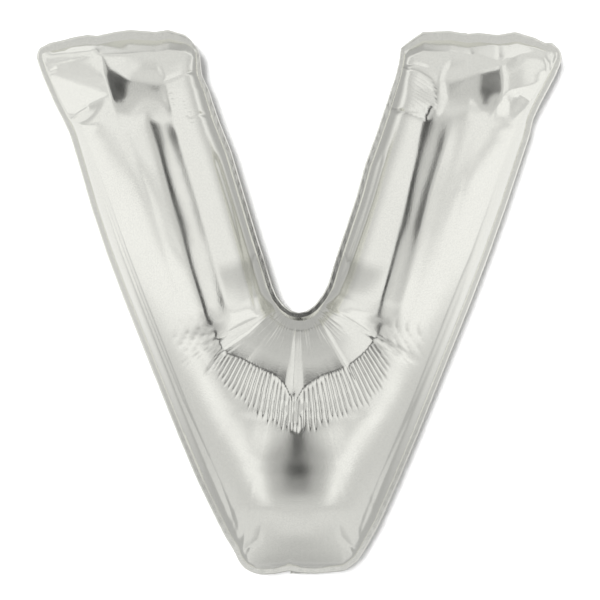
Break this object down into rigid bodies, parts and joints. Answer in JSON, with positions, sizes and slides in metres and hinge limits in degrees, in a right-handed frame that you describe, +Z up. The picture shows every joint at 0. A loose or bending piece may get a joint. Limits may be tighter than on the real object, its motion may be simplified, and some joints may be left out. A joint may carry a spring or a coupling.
{
  "type": "letter foil balloon",
  "caption": "Blown-up foil balloon in the shape of a capital letter, two silver sheets sealed round a flat rim, with hang flaps on top and a filling strip behind the foot.",
  "frame": {"origin": "middle of the foot, on the plane of the weld, at the lowest edge of the rim", "axes": "+Z up the letter, front faces -Y, +X to the right as the front is looked at"},
  "size_m": [0.938, 0.2048, 0.964],
  "materials": {
    "panel_foil": "satin mirror, metallised plastic film",
    "rim_foil": "satin mirror, heat sealed film",
    "clear_film": "clear glossy film"
  },
  "bodies": {
    "root": {"front_panel": "panel_foil", "back_panel": "panel_foil", "weld_flange": "rim_foil", "hang_tab_left": "rim_foil", "hang_tab_right": "rim_foil", "inflation_tail": "rim_foil", "valve_sleeve": "clear_film"}
  },
  "joints": []
}
